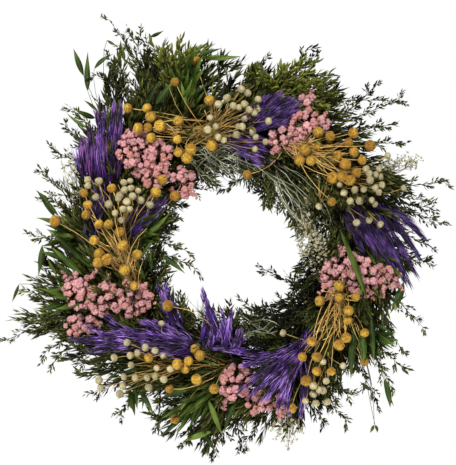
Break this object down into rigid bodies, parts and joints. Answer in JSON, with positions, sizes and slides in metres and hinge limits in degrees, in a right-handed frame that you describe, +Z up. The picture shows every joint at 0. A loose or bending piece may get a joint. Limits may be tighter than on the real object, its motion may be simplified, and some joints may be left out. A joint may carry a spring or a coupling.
{
  "type": "dried flower wreath",
  "caption": "Round hanging wreath of dried foliage, leaves, purple plumes, pink bud clusters and gold and ivory button flowers, tied in bunches to a wire ring.",
  "frame": {"origin": "the point at the top of the wire ring's inner side, where the ring bears on its hook", "axes": "+Z up; the front of the wreath faces -Y and the wall or door lies behind it at +Y; +X to the right seen from the front"},
  "size_m": [0.5492, 0.0909, 0.5551],
  "materials": {
    "binding_wire": "green lacquered florist wire",
    "cream_filler": "cream dried filler flowers, matt",
    "dark_foliage": "dried, dark olive green, matt",
    "gold_buttons": "mustard yellow button heads on straw stalks, matt",
    "ivory_buttons": "ivory button heads on straw stalks, matt",
    "green_leaves": "preserved green leaves, satin",
    "lime_foliage": "dried yellow green, matt",
    "pink_buds": "dyed pink papery buds, matt",
    "purple_plumes": "dyed purple bristly plumes, slight sheen",
    "ring_wire": "galvanised steel wire, slightly dull"
  },
  "bodies": {
    "root": {"binding_wire": "binding_wire", "cream_spray_bottom": "cream_filler", "cream_spray_inner_right": "cream_filler", "cream_spray_left": "cream_filler", "cream_spray_right": "cream_filler", "foliage_bunch_01": "dark_foliage", "foliage_bunch_02": "dark_foliage", "foliage_bunch_03": "dark_foliage", "foliage_bunch_04": "dark_foliage", "foliage_bunch_05": "dark_foliage", "foliage_bunch_06": "dark_foliage", "foliage_bunch_07": "dark_foliage", "foliage_bunch_08": "dark_foliage", "foliage_bunch_09": "dark_foliage", "foliage_bunch_10": "dark_foliage", "foliage_bunch_11": "dark_foliage", "foliage_bunch_12": "dark_foliage", "gold_buttons_bottom": "gold_buttons", "gold_buttons_left": "gold_buttons", "gold_buttons_lower_right": "gold_buttons", "gold_buttons_right": "gold_buttons", "gold_buttons_top_left": "gold_buttons", "ivory_buttons_bottom_left": "ivory_buttons", "ivory_buttons_left": "ivory_buttons", "ivory_buttons_lower_right": "ivory_buttons", "ivory_buttons_right": "ivory_buttons", "ivory_buttons_top": "ivory_buttons", "leafy_stem_bottom": "green_leaves", "leafy_stem_bottom_left": "green_leaves", "leafy_stem_inner_left": "green_leaves", "leafy_stem_left": "green_leaves", "leafy_stem_lower_left": "green_leaves", "leafy_stem_lower_right": "green_leaves", "leafy_stem_right": "green_leaves", "leafy_stem_top": "green_leaves", "leafy_stem_upper_left": "green_leaves", "lime_spray_top_left": "lime_foliage", "lime_spray_top_right": "lime_foliage", "pink_cluster_bottom": "pink_buds", "pink_cluster_inner_left": "pink_buds", "pink_cluster_lower_left": "pink_buds", "pink_cluster_right": "pink_buds", "pink_cluster_top_right": "pink_buds", "pink_cluster_upper_left": "pink_buds", "purple_plume_bottom": "purple_plumes", "purple_plume_inner_top": "purple_plumes", "purple_plume_left": "purple_plumes", "purple_plume_lower_left": "purple_plumes", "purple_plume_lower_right": "purple_plumes", "purple_plume_right": "purple_plumes", "purple_plume_top": "purple_plumes", "purple_plume_upper_left": "purple_plumes", "wire_ring": "ring_wire"}
  },
  "joints": []
}
